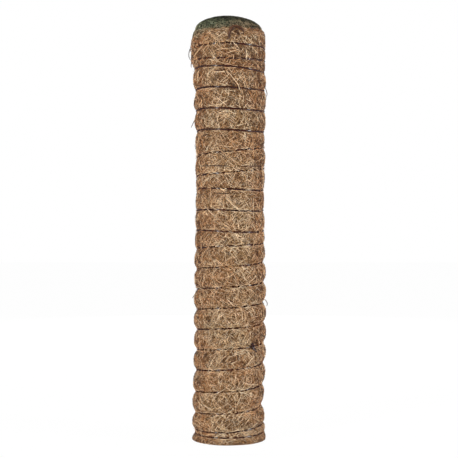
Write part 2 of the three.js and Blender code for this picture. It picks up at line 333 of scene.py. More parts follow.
def front_passes():
    """Heights of the thread's passes across the front, and how far each turn is tipped."""
    # How many turns, their pitch and their tip, as shares of the long pitch
    below = [(1, 0.266, 0), (1, 0.908, 0.063), (2, 1.067, 0.063)]
    above = [(1, 0.678, 0.21), (2, 1.038, 0.238), (1, 0.802, 0.014), (1, 1.032, 0.014)]
    above += [(4, 1.018, 0.252), (1, 0.368, 0.133), (1, 0.731, 0.084)]
    climb = (LAST_PASS - FIRST_PASS) / LONG_PITCH - sum(turns * pitch for turns, pitch, _ in below + above)
    heights, tips = [FIRST_PASS], [0.0]
    for turns, pitch, tip in below + [(round(climb), climb / round(climb), 0.063)] + above:
        for _ in range(turns):
            heights.append(heights[-1] + pitch * LONG_PITCH)
            tips.append(tip * LONG_PITCH)
    return np.array(heights), np.array(tips)


PASS_HEIGHTS, PASS_TIPS = front_passes()
LAST_TURN = len(PASS_HEIGHTS) - 1


def pass_at(index):
    """Height and tip of a pass across the front, counted on past both ends."""
    kept = np.clip(index, 0, LAST_TURN)
    return PASS_HEIGHTS[kept] + (index - kept) * LONG_PITCH, PASS_TIPS[kept]


def thread_height(turns):
    """Height of the thread after that many turns. It runs level where its ends are tied off."""
    index = np.floor(turns).astype(int)
    part = turns - index
    low, low_tip = pass_at(index)
    high, high_tip = pass_at(index + 1)
    done = np.where(index < 0, ease(part, 0, 1 - END_OVERLAP), part)
    done = np.where(index >= LAST_TURN, ease(part, END_OVERLAP, 1), done)
    tip = low_tip + (high_tip - low_tip) * ease(part, 0.25, 0.75)
    return low + (high - low) * done - tip * np.sin(2 * np.pi * turns)


def cap_share(z):
    """0 on the bare pipe, 1 over the cap."""
    return ease(z, WIDE_BORE - CAP_SLOPE, WIDE_BORE)


def mat_thickness(z):
    """Thicker towards the foot, thinner over the cap."""
    foot = 1 - ease_mm(z, 95, 175)
    return (3.5 + 1.3 * foot - 1.5 * cap_share(z)) * MM


def crest_radius(z):
    """Radius of the mat on top of a bulge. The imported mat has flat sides, and their corners count."""
    inside = TUBE_RADIUS + (NET_RADIUS - TUBE_RADIUS) * cap_share(z)
    return (inside + SEAT_GAP) / math.cos(math.pi / PACKED_SIDES) + mat_thickness(z)


def thread_present(turns):
    """1 along the thread, 0 past its two ends."""
    return ease(turns, -0.5, -0.4) * (1 - ease(turns, LAST_TURN + 0.4, LAST_TURN + 0.5))


print("passes:", LAST_TURN + 1, "last at", round(PASS_HEIGHTS[-1] / MM, 1), "mm")

# %% [markdown]
# ## The mat's bed
# Under the loose fibres the mat is a firm felt. It could be a plain cylinder with a bump map, but the bulges
# show at the pole's outline, so it is a real mesh. Each vertex looks up the turns of thread just below and
# above it and swells between them. It was wound by hand, so its middle sits a little to one side and its
# sides are uneven, and its upper edge thins out onto the dome.

# %% Lines and lumps of the bed
COLUMNS = 132
ROW_STEP = 0.85 * MM
RIM_ROWS = 10
RIM_ROLL = 9.5 * MM
RIM_DROP = 0.5 * MM
PILLOW = 2.6
FIBRE_ROOM = 0.45 * MM
DOME_TOP = 299.25 * MM
DOME_WIDTH_POWER = 1.7
DOME_RISE_POWER = 2.65
AROUND = np.arange(COLUMNS) / COLUMNS


def rough(points, wave, height):
    """Smooth random lumps of about that wavelength and height."""
    return np.array([noise.noise(Vector(p) / wave) for p in points]) * height


def on_pole(turns, radius, z):
    """Points round the pole, in turns from the middle of its front."""
    angle = 2 * np.pi * np.asarray(turns)
    return np.stack(np.broadcast_arrays(radius * np.sin(angle), -radius * np.cos(angle), z), -1)


def side_of(around):
    """-1 at the pole's left side, 0 in front and behind, 1 at its right side."""
    return np.sin(2 * np.pi * around)


def ragged(around, wave):
    """How far a torn edge wanders up and down."""
    return rough(on_pole(around, 24 * MM, 0), wave, 0.6 * MM)


def groove_share(around, z):
    """How deep the mat is drawn in here: 1 under the thread, 0 on top of a bulge."""
    turns = np.arange(-3, LAST_TURN + 4)[:, None] + around
    heights = thread_height(turns)
    below = np.clip((heights[:, None, :] <= z[None]).sum(0) - 1, 0, len(heights) - 2)
    column = np.arange(len(around))
    low, high = heights[below, column], heights[below + 1, column]
    share = (z - low) / (high - low)
    nearest = np.where(share < 0.5, turns[below, column], turns[below + 1, column])
    pressed = np.abs(2 * share - 1) ** PILLOW * thread_present(nearest)
    flat = 1 - np.minimum(1, (high - low) / FULL_BULGE)
    return flat + (1 - flat) * pressed


def net_radius(z):
    """The dome: fuller than an ellipse at its shoulder, and more pointed at its top."""
    rise = np.clip((z - SHOULDER) / (DOME_TOP - SHOULDER), 0, 1)
    return NET_RADIUS * (1 - rise**DOME_RISE_POWER) ** (1 / DOME_WIDTH_POWER)


def neck(z):
    """The mat is drawn in a little just below the cap."""
    return 0.6 * MM * ease_mm(z, 236, 246) * (1 - ease_mm(z, 260, 267))


# Where the mat's sides are fuller or thinner: the side, the height, the reach and how much, in millimetres
UNEVEN = [
    (1, 253.4, 5, -0.8), (1, 238.5, 4, -0.7), (1, 219, 3.5, 0.7), (1, 194.5, 14, 0.6), (1, 28.5, 7, -1),
    (1, 8, 7, 1.1), (-1, 264, 4, -1), (-1, 243.4, 3.5, -0.7), (-1, 231, 3.5, -0.7),
]


def uneven(around, z):
    """The mat spreads a little at its foot, and its sides are uneven."""
    extra = 0.6 * (1 - ease_mm(z, 4, 16))
    for left_or_right, height, reach, more in UNEVEN:
        flank = ease(side_of(around) * left_or_right, 0.5, 0.95)
        extra = extra + more * bell(z / MM, height, reach) * flank
    return extra * MM


def filled(z):
    """1 in the middle of the pole, where fibres have filled the grooves again."""
    return ease_mm(z, 125, 145) * (1 - ease_mm(z, 206, 216))


def groove_depth(z):
    """How deep the thread draws the mat in below its bulges."""
    return THREAD_BITE * mat_thickness(z) * (1 - 0.4 * filled(z)) + neck(z)


def lean(points):
    """The soft dome sits a little to the left of the pole's middle."""
    rise = np.maximum(0, points[..., 2] - SHOULDER) / NET_CROWN
    points[..., 0] -= DOME_LEAN * rise
    return points


def settle(points):
    """Shifts the mat sideways as it was wound: the middle to the right, the ends a little to the left."""
    z = points[..., 2]
    top = ease_mm(z, 254, 268)
    middle = ease_mm(z, 25, 75) * (1 - top)
    left = 0.3 + 0.3 * top - 0.4 * ease_mm(z, 278, 288)
    points[..., 0] += (middle - left) * MM
    return lean(points)


# %% Rows of the bed
def mat_rows(depth):
    """The outside of the mat as rows of points, from the foot up and over the rim onto the netting."""
    rim = RIM - RIM_DROP + ragged(AROUND, 6 * MM)
    count = round((RIM - RIM_ROLL) / ROW_STEP)
    z = np.linspace(0, 1, count)[:, None] * (rim - RIM_ROLL)
    pressed = groove_share(AROUND, z)
    radius = crest_radius(z) - FIBRE_ROOM - depth(z) * pressed * groove_depth(z)
    radius = radius - neck(z) + uneven(AROUND, z)
    flat = on_pole(AROUND, radius, z).reshape(-1, 3)
    # Broad lumps and fine ones, but hardly any under the thread
    lumps = rough(flat, 13 * MM, 0.55 * MM) + rough(flat, 4.5 * MM, 0.1 * MM)
    radius = radius + lumps.reshape(radius.shape) * (1 - 0.8 * pressed)
    roll = np.linspace(0, math.pi / 2, RIM_ROWS + 1)[1:, None]
    edge = net_radius(rim + RIM_DROP) + SEAT_GAP
    rim_z = rim - RIM_ROLL + (RIM_ROLL + RIM_DROP) * np.sin(roll)
    rim_radius = edge + (radius[-1] - edge) * np.cos(roll)
    return np.vstack([radius, rim_radius]), np.vstack([z, rim_z])


def grid_faces(rows, closed=False):
    """Quads between rows of COLUMNS points each, which run round the pole and face outwards."""
    corner = np.arange(rows * COLUMNS).reshape(rows, COLUMNS)
    if closed:
        corner = np.vstack([corner, corner[:1]])
    after = np.roll(corner, -1, 1)
    return np.stack([corner[:-1], after[:-1], after[1:], corner[1:]], -1).reshape(-1, 4)


def bed_mesh():
    """The felt as a closed body: the outside, then down the bore, then back across the foot."""
    radius, z = mat_rows(np.ones_like)
    outside = settle(on_pole(AROUND, radius, z))
    bore = [(NET_RADIUS, RIM - 3 * MM), (NET_RADIUS, WIDE_BORE), (TAIL_RADIUS, WIDE_BORE)]
    bore += [(TAIL_RADIUS, TAIL_FOOT), (TUBE_RADIUS, TAIL_FOOT), (TUBE_RADIUS, 0)]
    bore += [(TUBE_RADIUS + (radius[0].mean() - TUBE_RADIUS) * share, 0) for share in (0.25, 0.5, 0.75)]
    bore = np.array(bore)
    inside = on_pole(AROUND, bore[:, :1] + SEAT_GAP, bore[:, 1:])
    points = np.vstack([outside.reshape(-1, 3), inside.reshape(-1, 3)])
    return new_mesh("coir_bed", points, grid_faces(len(radius) + len(bore), closed=True))


coir_bed = show(bed_mesh())
print("bed:", len(coir_bed.data.polygons), "quads")

# %% [markdown]
# ## Finishes of the coir
# Coir fibres are stiff hairs, from dark chestnut to straw, with a dull shine. The felt under them is a darker
# brown. Fibres are laid out on their colour map by tone, from dark to pale, and by warmth, from straw to
# chestnut, so one small palette colours thousands of them, and the same map serves when it is baked.

# %% Coir materials
COLOUR_MAP = "OFBake"
TONE_START, TONE_SPAN, TONE_WIDTH = 0.02, 0.92, 0.03


def finish_surface(graph, **sockets):
    """Ends a material in one Principled shader."""
    shader = graph.add("ShaderNodeBsdfPrincipled", **sockets)
    graph.add("ShaderNodeOutputMaterial", Surface=shader)


def mix_colours(graph, share, a, b):
    return graph.add("ShaderNodeMix", data_type="RGBA", Factor=share, A=a, B=b)


def ramp(graph, value, stops):
    return graph.add("ShaderNodeValToRGB", stops=stops, Fac=value)


def mottle(graph, scale, detail=2.0):
    """Smooth random patches that stay fixed to the object. The scale is how many go to a metre."""
    place = graph.add("ShaderNodeTexCoord", out="Object")
    return graph.add("ShaderNodeTexNoise", Vector=place, Scale=scale, Detail=detail)


def bump(graph, height, strength, distance):
    return graph.add("ShaderNodeBump", Height=height, Strength=strength, Distance=distance)


def tones(*colours):
    """Stops for a ramp from dark to pale, each given as its place and a colour of 0 to 255."""
    return [(place, linear(*colour)) for place, *colour in colours]


def fibre_material(name, plain, warm, roughness, specular):
    """Colour by the fibre's tone and warmth."""
    material, graph = new_material(name)
    across, up, _ = graph.split(graph.add("ShaderNodeUVMap", uv_map=COLOUR_MAP))
    tone = (across - TONE_START) / TONE_SPAN
    warmth = (up - TONE_START) / TONE_SPAN
    colour = mix_colours(graph, warmth, ramp(graph, tone, plain), ramp(graph, tone, warm))
    finish_surface(graph, Base_Color=colour, Roughness=roughness, Specular_IOR_Level=specular)
    return material


STRAW = tones(
    (0, 40, 25, 13), (0.2, 98, 69, 40), (0.45, 173, 135, 90), (0.7, 218, 182, 135), (1, 254, 233, 198)
)
CHESTNUT = tones(
    (0, 38, 18, 8), (0.2, 90, 50, 24), (0.45, 160, 104, 58), (0.7, 208, 151, 98), (1, 246, 212, 168)
)


def felt_material():
    """Brown felt: a fine mottle of matted ends over broad patches, redder in places."""
    material, graph = new_material("coir_felt")
    fine = mottle(graph, 1300.0, 3.0)
    colour = ramp(graph, fine, tones((0.3, 52, 33, 20), (0.52, 94, 65, 42), (0.75, 142, 106, 72)))
    redder = (*linear(104, 66, 40), 1)
    colour = mix_colours(graph, mottle(graph, 70.0) * 0.5, colour, redder)
    normal = bump(graph, fine, 0.6, 0.4 * MM)
    finish_surface(graph, Base_Color=colour, Roughness=0.9, Specular_IOR_Level=0.2, Normal=normal)
    return material


coir_fibre = fibre_material("coir_fibre", STRAW, CHESTNUT, 0.35, 0.42)
coir_bed.data.materials.append(felt_material())
print("materials:", len(bpy.data.materials))

# %% [markdown]
# ## A tree that lays fibres on a surface
# Hair particles would be quick, but they don't leave a mesh behind. Geometry Nodes can do the same with full
# control: scatter points on the mat, give each a direction and a length, put a short curve there, bend it and
# press it onto the surface, then turn it into a three-sided tube. The tree takes the sizes as inputs, so the
# same tree lays the matted coir, the long fibres that bridge the thread, and the green fuzz of the netting.

# %% Ground that the fibres are laid on
DOME_ROWS = 22
OFF_CLOTH = 0.05 * MM
TIP_GAP = 0.02 * MM
# Darker places: across and up the front and width, in millimetres, then how dark
# The two at the rim, at 5.5 and 15.9 across, are painted shade inside the tuft and in a gap at the rim
DARK_SPOTS = [
    (2.6, 62.5, 1.7, 0.5), (2.6, 58.5, 1.7, 0.4), (-7.9, 254.6, 2.2, 0.8), (5.5, 285.4, 1.6, 1),
    (15.9, 288.5, 1.5, 1), (2, 247.5, 2.4, 0.7), (6.5, 247, 2.2, 0.7), (11.7, 244.8, 1.8, 0.7),
    (-14.6, 86.5, 1.5, 0.8), (19, 70.4, 2, 0.9), (-15.3, 38.2, 1.3, 0.9), (-20.2, 42.8, 1.3, 0.9),
]


def net_edge(around):
    """Where the coir ends and the netting begins: lower on the left, ragged all round."""
    side = side_of(around)
    drop = 0.4 + 5.2 * ease(-side, 0.3, 0.9) - 0.5 * ease(side, 0.3, 1)
    return RIM - drop * MM + ragged(around, 4 * MM)


def spots_at(points):
    depth = np.zeros(len(points))
    for across, up, width, dark in DARK_SPOTS:
        far = np.hypot(points[:, 0] / MM - across, points[:, 2] / MM - up)
        depth += dark * bell(far, 0, width) * (points[:, 1] < 0)
    return np.minimum(depth, 1)


def over_top(around, z):
    """1 at the left of the top two passes of the thread, where fibres hide it, and less to the right."""
    clear = (0.5 + 0.35 * ease_mm(z, 270, 275)) * ease(side_of(around), -0.2, 0.3)
    return ease_mm(z, 262, 268) * (1 - clear)


def faded(z):
    """1 where two passes near the middle of the pole hardly show."""
    return ease_mm(z, 183, 190) * filled(z)


def bridge_depth(z):
    """How far fibres that lie over the thread follow its groove down. Below 0 they lie over it."""
    return 0.7 - 0.45 * filled(z) - 0.3 * faded(z) - 0.85 * over_top(AROUND, z)


def cover(around, z, side):
    """How thickly fibres hide the thread: in places at the foot, in the middle and at the top left."""
    foot = 0.35 * near_foot(z) * (1 - 0.7 * ease(np.abs(side), 0.45, 0.8)) * ease_mm(z, 9, 14)
    return 0.05 + 0.4 * filled(z) + 0.5 * faded(z) + foot + 0.9 * over_top(around, z)


def painted_sheen(z, side):
    """Painted sheen of the lamps: two paler stripes up the front, the left stronger from the middle up."""
    upper = ease_mm(z, 205, 216) * (1 - ease_mm(z, 262, 268))
    return bell(side, -0.4, 0.18) * (1 + filled(z) + 1.3 * upper) + 0.6 * bell(side, 0.55, 0.16)


def coir_tone(z, side):
    """The coir is a little darker towards its top; painted shade darkens its foot and its sides."""
    top = ease_mm(z, 256, 268) * (1 - 1.8 * ease_mm(z, 276, 281))
    # The last term is painted shade at the foot, against the light that the white floor throws up
    ends = 0.05 * ease_mm(z, 190, 215) + 0.11 * top + 0.12 * (1 - ease_mm(z, 2, 7))
    right = ease(side, -0.3, 0) * ease_mm(z, 228, 236)
    left = ease(-side, 0.6, 0.9) * (near_foot(z) + filled(z)) * ease_mm(z, 60, 110)
    # The left term and the last are painted shade along the sides, which turn from the light
    return -ends - 0.06 * (right + left + ease(np.abs(side), 0.7, 1))


def net_tone(z, side):
    """Painted shade: the netting's fuzz is darker at the crown, seen edge on, and on the right."""
    return -0.4 * ease_mm(z, 291, 297) - 0.2 * ease(side, 0.3, 0.9) - 0.1 * ease(side, -0.6, -0.3)


def redness(side):
    """Sides redder than the front, the left most: partly the coir's own colour, partly painted shade."""
    return np.where(side < 0, 2.1, 1.4) * side**4


def ground(name, depth):
    """The mat's outside and the netted dome as one open surface, with what the fibres need to know."""
    radius, z = mat_rows(depth)
    rows = len(radius) + DOME_ROWS
    rise = np.linspace(0, math.pi / 2, DOME_ROWS + 1)[1:, None]
    dome_z = z[-1] + (DOME_TOP - TIP_GAP - z[-1]) * np.sin(rise)
    dome = on_pole(AROUND, net_radius(dome_z) + OFF_CLOTH, dome_z)
    both = [settle(on_pole(AROUND, radius, z)), lean(dome)]
    points = np.vstack([part.reshape(-1, 3) for part in both])
    around, edge = np.tile(AROUND, rows), np.tile(net_edge(AROUND), rows)
    height, side = points[:, 2], points[:, 0] / NET_RADIUS
    matted = height < edge
    pressed = np.zeros(len(points))
    pressed[: radius.size] = groove_share(AROUND, z).ravel()
    spots = spots_at(points)
    rimward = ease(height, edge - 7 * MM, edge - 1 * MM)
    beside_thread = ease(pressed, 0.25, 0.8) * (1 - 0.25 * near_foot(height) - over_top(around, height))
    mixed = ease(edge + 6 * MM - height, 0, 5 * MM) * ~matted
    # The two stripes are painted sheen, where the lamps glint on the fibres
    tone = np.where(matted, coir_tone(height, side), net_tone(height, side)) + 0.06 * painted_sheen(height, side)
    # Paler fibres in the thread's grooves are painted light, lifting the shade that falls there
    tone = tone + 0.16 * ease(pressed, 0.1, 0.7) - 0.75 * spots + 0.12 * mixed
    warmth = 0.27 + redness(side) * matted + 0.5 * spots + 0.45 * mixed + 0.15 * ~matted
    values = {
        "matted": matted,
        "netted": ~matted,
        "level": np.maximum(rimward, beside_thread) * matted,
        "covered": cover(around, height, side) * ease(pressed, 0.3, 0.9) * matted,
        "shade": rough(points, 14 * MM, 0.05) + tone,
        "warm": rough(points, 18 * MM, 0.9) + warmth,
        "lie": rough(points, 16 * MM, 0.7),
    }
    mesh = new_mesh(name, points, grid_faces(rows))
    for label, value in values.items():
        mesh.attributes.new(label, "FLOAT", "POINT").data.foreach_set("value", value.astype(np.float32))
    return show(mesh)


felt_ground = ground("felt_ground", np.ones_like)
bridge_ground = ground("bridge_ground", bridge_depth)
print("ground:", len(felt_ground.data.vertices), "vertices")

# %% The fibre tree
OFF_FLOOR = 0.25 * MM
FIBRE_SIZES = {
    "Object": ["Rests On"],
    "String": ["Patch"],
    "Int": ["Seed", "Points"],
    "Length": [
        "Lowest", "Highest", "Shortest", "Longest", "Thinnest", "Thickest",
        "Least Lift", "Most Lift", "Tip Lift",
    ],
    "Float": ["Density", "Slant", "Spread", "Bend", "Wave", "Darkest", "Palest"],
    "Material": ["Material"],
}


class GeometryGraph(Graph):
    """A Geometry Nodes tree with named inputs, and short ways to store and read values on its points."""

    def __init__(self, name, sizes):
        super().__init__(bpy.data.node_groups.new(name, "GeometryNodeTree"))
        self.add_socket("Geometry", "Geometry")
        for kind, labels in sizes.items():
            for label in labels:
                self.add_socket(label, kind)
        self.add_socket("Geometry", "Geometry", "OUTPUT")
        given = self.tree.nodes.new("NodeGroupInput")
        self.given = {s.name: Wire(self, s) for s in given.outputs if s.name}

    def add_socket(self, label, kind, way="INPUT"):
        """A length is a number that is marked as a distance."""
        socket_type = "NodeSocket" + kind.replace("Length", "Float")
        made = self.tree.interface.new_socket(name=label, in_out=way, socket_type=socket_type)
        if kind == "Length":
            made.subtype = "DISTANCE"

    def store(self, geometry, name, value, kind=None, domain="POINT"):
        kind = kind or ("FLOAT_VECTOR" if is_vector(value) else "FLOAT")
        named = dict(data_type=kind, domain=domain, Geometry=geometry, Name=name, Value=value)
        return self.add("GeometryNodeStoreNamedAttribute", **named)

    def read(self, name, kind="FLOAT"):
        return self.add("GeometryNodeInputNamedAttribute", data_type=kind, Name=name)

    def random(self, low, high, seed):
        inputs = dict(Min=low, Max=high, Seed=seed)
        return self.add("FunctionNodeRandomValue", data_type="FLOAT", **inputs)

    def with_run(self, curves):
        """Each point of a curve keeps its place along it, from 0 to 1."""
        return self.store(curves, "run", self.add("GeometryNodeSplineParameter", out="Factor"))

    def from_middle(self):
        """-1 at the start of a curve, 0 in its middle and 1 at its end."""
        return self.read("run") * 2 - 1

    def lines_on(self, points):
        """A straight line on each point."""
        line = self.add("GeometryNodeCurvePrimitiveLine", End=(1, 0, 0))
        line = self.add("GeometryNodeResampleCurve", Curve=line, Count=self.given["Points"])
        laid = self.add("GeometryNodeInstanceOnPoints", Points=points, Instance=line)
        return self.with_run(self.add("GeometryNodeRealizeInstances", Geometry=laid))

    def move(self, geometry, place):
        return self.add("GeometryNodeSetPosition", Geometry=geometry, Position=place)

    def cling(self, place, lift):
        """The nearest place on the object that something rests on, lifted off it."""
        rest = self.add("GeometryNodeObjectInfo", Object=self.given["Rests On"], out="Geometry")
        near = self.add("GeometryNodeProximity", Geometry=rest, Sample_Position=place)
        inputs = dict(Mesh=rest, Value=self.add("GeometryNodeInputNormal"), Sample_Position=place)
        normal = self.add("GeometryNodeSampleNearestSurface", data_type="FLOAT_VECTOR", **inputs)
        return near + normal * lift

    def tube(self, curve, radius, taper, sides):
        """Turns curves into tubes. Each vertex keeps its place round the tube, as a share."""
        radius = radius * (1 - taper * self.from_middle() ** 4)
        profile = self.add("GeometryNodeCurvePrimitiveCircle", Resolution=sides, Radius=1.0)
        profile = self.store(profile, "side", self.add("GeometryNodeInputIndex") / sides)
        inputs = dict(Curve=curve, Profile_Curve=profile, Scale=radius, Fill_Caps=True)
        return self.add("GeometryNodeCurveToMesh", **inputs)

    def coloured(self, mesh):
        """Puts each fibre on the colour map: its tone across, its warmth up."""
        tone = TONE_START + self.read("tone") * TONE_SPAN + self.read("side") * TONE_WIDTH
        warmth = TONE_START + (self.read("warmth") * 0.9 + self.read("run") * 0.1) * TONE_SPAN
        return self.store(mesh, COLOUR_MAP, self.join(tone, warmth), "FLOAT2", "CORNER")

    def finish(self, curves, radius, taper, sides):
        """Ends the tree in tubes along the curves, with their colours and material."""
        tubes = self.coloured(self.tube(curves, radius, taper, sides))
        smooth = self.add("GeometryNodeSetShadeSmooth", Geometry=tubes)
        real = self.add("GeometryNodeRealizeInstances", Geometry=smooth)
        dressed = self.add("GeometryNodeSetMaterial", Geometry=real, Material=self.given["Material"])
        self.feed(self.tree.nodes.new("NodeGroupOutput").inputs[0], dressed)
        return self.tree


def scatter(graph):
    """Points on the ground, each with its own direction, length, bend, tone and lift."""
    given = graph.given
    place = graph.add("GeometryNodeInputPosition")
    _, _, height = graph.split(place)
    above = graph.call("GREATER_THAN", height, given["Lowest"])
    below = graph.call("LESS_THAN", height, given["Highest"])
    # The least distance keeps the points from clumping, so more are tried than are kept
    points, normal = graph.add(
        "GeometryNodeDistributePointsOnFaces",
        distribute_method="POISSON",
        Mesh=given["Geometry"],
        Seed=given["Seed"],
        Density_Factor=graph.read(given["Patch"]) * (above * below),
        Distance_Min=0.75 / graph.call("SQRT", given["Density"]),
        Density_Max=given["Density"] * 2.5,
        out=("Points", "Normal"),
    )
    around = graph.vector("NORMALIZE", graph.vector("CROSS_PRODUCT", (0, 0, 1), normal))
    upward = graph.vector("CROSS_PRODUCT", normal, around)
    either_way = graph.call("SIGN", graph.random(-1.0, 1.0, 1)) * given["Slant"]
    spin = either_way + graph.read("lie") + graph.random(-1.0, 1.0, 10) * given["Spread"]
    # Beside the thread and at the rim the fibres lie level and are shorter
    rising = graph.call("SINE", spin) * (1 - 0.85 * graph.read("level"))
    along = graph.vector("NORMALIZE", around * graph.call("COSINE", spin) + upward * rising)
    tone = graph.random(given["Darkest"], given["Palest"], 5) + graph.read("shade")
    values = {
        "middle": place,
        "across": graph.vector("CROSS_PRODUCT", normal, along),
        "along": along,
        "length": graph.random(given["Shortest"], given["Longest"], 2) * (1 - 0.4 * graph.read("level")),
        "bend": graph.random(-1.0, 1.0, 3) * given["Bend"],
        "phase": graph.random(0.0, 2 * math.pi, 4),
        "tone": graph.limit(tone),
        "warmth": graph.limit(graph.read("warm") + graph.random(-0.3, 0.3, 9)),
        "thick": graph.random(given["Thinnest"], given["Thickest"], 6),
        "lift": graph.random(given["Least Lift"], given["Most Lift"], 7),
        "tip": graph.random(0.0, 1.0, 8) ** 3 * given["Tip Lift"],
    }
    for name, value in values.items():
        points = graph.store(points, name, value)
    return points


def press(graph, curves):
    """Bends each curve in its own plane, then presses it onto the surface that it rests on."""
    share = graph.from_middle()
    length = graph.read("length")
    sway = graph.call("SINE", graph.read("phase") + share * 5.5) * graph.given["Wave"]
    sideways = (graph.read("bend") * (share * share - 0.33) + sway) * length
    flat = graph.read("middle", "FLOAT_VECTOR") + graph.read("along", "FLOAT_VECTOR") * (share * length * 0.5)
    flat = flat + graph.read("across", "FLOAT_VECTOR") * sideways
    # The lift wavers along the fibre, and one end may stand off the mat
    ripple = graph.call("SINE", graph.read("phase") * 3 + share * 4) * 0.3 + 1
    lift = graph.read("lift") * ripple + graph.read("tip") * graph.read("run") ** 3
    x, y, z = graph.split(graph.cling(flat, lift))
    return graph.move(curves, graph.join(x, y, graph.call("MAXIMUM", z, OFF_FLOOR)))


def laid_fibre_tree():
    graph = GeometryGraph("laid_fibres", FIBRE_SIZES)
    curves = press(graph, graph.lines_on(scatter(graph)))
    return graph.finish(curves, graph.read("thick"), taper=0.7, sides=3)


FIBRES = laid_fibre_tree()
print("fibre tree:", len(FIBRES.nodes), "nodes")

# %% Run a tree on an object and keep its result as a plain mesh
def run_tree(name, source, tree, mapped=True, **sizes):
    """Sizes are named as the tree's inputs, with underscores for spaces. Lengths are in millimetres."""
    host = source.copy()
    bpy.context.scene.collection.objects.link(host)
    modifier = host.modifiers.new(tree.name, "NODES")
    modifier.node_group = tree
    sockets = {s.name: s for s in tree.interface.items_tree if s.in_out == "INPUT"}
    for label, value in sizes.items():
        socket = sockets[label.replace("_", " ")]
        if socket.socket_type == "NodeSocketFloat":
            value = value * (MM if socket.subtype == "DISTANCE" else 1.0)
        modifier[socket.identifier] = value
    evaluated = host.evaluated_get(bpy.context.evaluated_depsgraph_get())
    mesh = bpy.data.meshes.new_from_object(evaluated)
    host.modifiers.remove(modifier)
    bpy.data.objects.remove(host)
    mesh.name = name
    kept = ["position", "sharp_face", "material_index"] + [COLOUR_MAP] * mapped
    for label in [a.name for a in mesh.attributes if not a.name.startswith(".") and a.name not in kept]:
        mesh.attributes.remove(mesh.attributes[label])
    mesh.calc_loop_triangles()
    print(name, len(mesh.loop_triangles), "triangles")
    return show(mesh)


def lay(name, on, patch, material, **sizes):
    """Fibres on one patch of a ground."""
    return run_tree(name, on, FIBRES, Rests_On=on, Patch=patch, Material=material, **sizes)


# %% [markdown]
# ## The matted coir
# Some sixty-five thousand fibres make the mat. Longer, browner ones lie deep and in every direction. Shorter
# ones of every tone lie on top and slant one way or the other round the pole, as rolling the mat drew them,
# so that they cross. Dark broken ends between them show as specks, and their darkness is painted shade for
# the gaps where the fibres part. Each layer is made in three belts, one above the other, which keeps each
# mesh small enough to handle. All lengths are in millimetres.

# %% Belts of matted fibres
BELT = 100
BELT_START = -1
ANY_WAY = dict(Slant=0.0, Spread=3.2)
DEEP = dict(
    Density=300000.0, Points=4, Shortest=6, Longest=14, Thinnest=0.12, Thickest=0.2, Bend=0.03, Wave=0.004,
    Least_Lift=0, Most_Lift=0.3, Tip_Lift=0.4, Darkest=0.28, Palest=0.74, **ANY_WAY,
)
# Three values stand for the three belts, from the foot up
UPPER = dict(
    Density=620000.0, Points=4, Shortest=(2.2, 2.2, 2), Longest=(6.6, 6.6, 6.5), Thinnest=0.1, Thickest=0.16,
    Bend=0.01, Wave=0.0, Least_Lift=0.25, Most_Lift=0.55, Tip_Lift=0.4, Slant=0.85, Spread=0.4,
    Darkest=(0.02, 0.0, 0.0), Palest=(1.27, 1.26, 1.28),
)
# Very dark short ends: painted shade for the gaps between fibres
SPECKS = dict(
    Density=640000.0, Points=3, Shortest=0.7, Longest=1.7, Thinnest=0.17, Thickest=0.28, Bend=0.02, Wave=0.0,
    Least_Lift=0.4, Most_Lift=0.6, Tip_Lift=0, Slant=0.85, Spread=0.7, Darkest=-0.2, Palest=0.05,
)
matted = []
for layer, sizes, seed in (("deep", DEEP, 11), ("upper", UPPER, 21), ("specks", SPECKS, 81)):
    for i in range(3):
        own = {name: value[i] if isinstance(value, tuple) else value for name, value in sizes.items()}
        lowest = i * BELT + BELT_START
        own |= dict(Lowest=lowest, Highest=lowest + BELT, Seed=seed + i)
        matted.append(lay(f"coir_{layer}_{i + 1}", felt_ground, "matted", coir_fibre, **own))

# %% [markdown]
# ## Fibres over the thread
# Some fibres work loose after binding and lie over the thread, so that its dark line looks broken. Long pale
# ones cross it anywhere. Short ones hide parts of it at the foot, in the middle and at the top left. They
# rest on a second ground with shallow grooves, which carries them across. A few thin hairs stand off the mat.

# %% Bridging fibres, covering fibres and stray ends
ANYWHERE = dict(Lowest=-BELT, Highest=4 * BELT, **ANY_WAY)
OVER = dict(Bend=0.03, Wave=0.003, Least_Lift=0.25, Most_Lift=0.6, **ANYWHERE)
bridging = lay(
    "coir_bridging", bridge_ground, "matted", coir_fibre, Density=10000.0, Seed=31, Points=8, Shortest=8,
    Longest=18, Thinnest=0.1, Thickest=0.16, Tip_Lift=0.6, Darkest=0.6, Palest=1.05, **OVER,
)
covering = lay(
    "coir_covering", bridge_ground, "covered", coir_fibre, Density=340000.0, Seed=40, Points=4, Shortest=2.5,
    Longest=6, Thinnest=0.13, Thickest=0.22, Tip_Lift=0.3, Darkest=0.2, Palest=0.9, **OVER,
)
stray = lay(
    "coir_stray_ends", felt_ground, "matted", coir_fibre, Density=9000.0, Seed=47, Points=9, Shortest=7,
    Longest=15, Thinnest=0.07, Thickest=0.12, Bend=0.25, Wave=0.03, Least_Lift=0.2, Most_Lift=0.6,
    Tip_Lift=3, Darkest=0.2, Palest=0.9, **ANYWHERE,
)

# %% [markdown]
# ## The binding thread
# The thread is a smooth dark nylon with a clear shine, pulled tight into the mat. It is drawn 1.24 mm thick,
# as wide as it shows. Its route follows the rule of the winding, and it lies a little higher or lower in its
# groove in places. A tree turns the route into a tube, so its thickness is one input. Each end is tied off at
# the back with a stopper knot: two and a half turns round itself and a short tail.

# %% A tree that draws tubes along routes
TUBE_SIZES = {
    "Object": ["Rests On"],
    "Length": ["Lift", "Radius"],
    "Int": ["Sides"],
    "Float": ["Cling", "Taper", "Darkest", "Palest", "Warmth"],
    "Material": ["Material"],
}


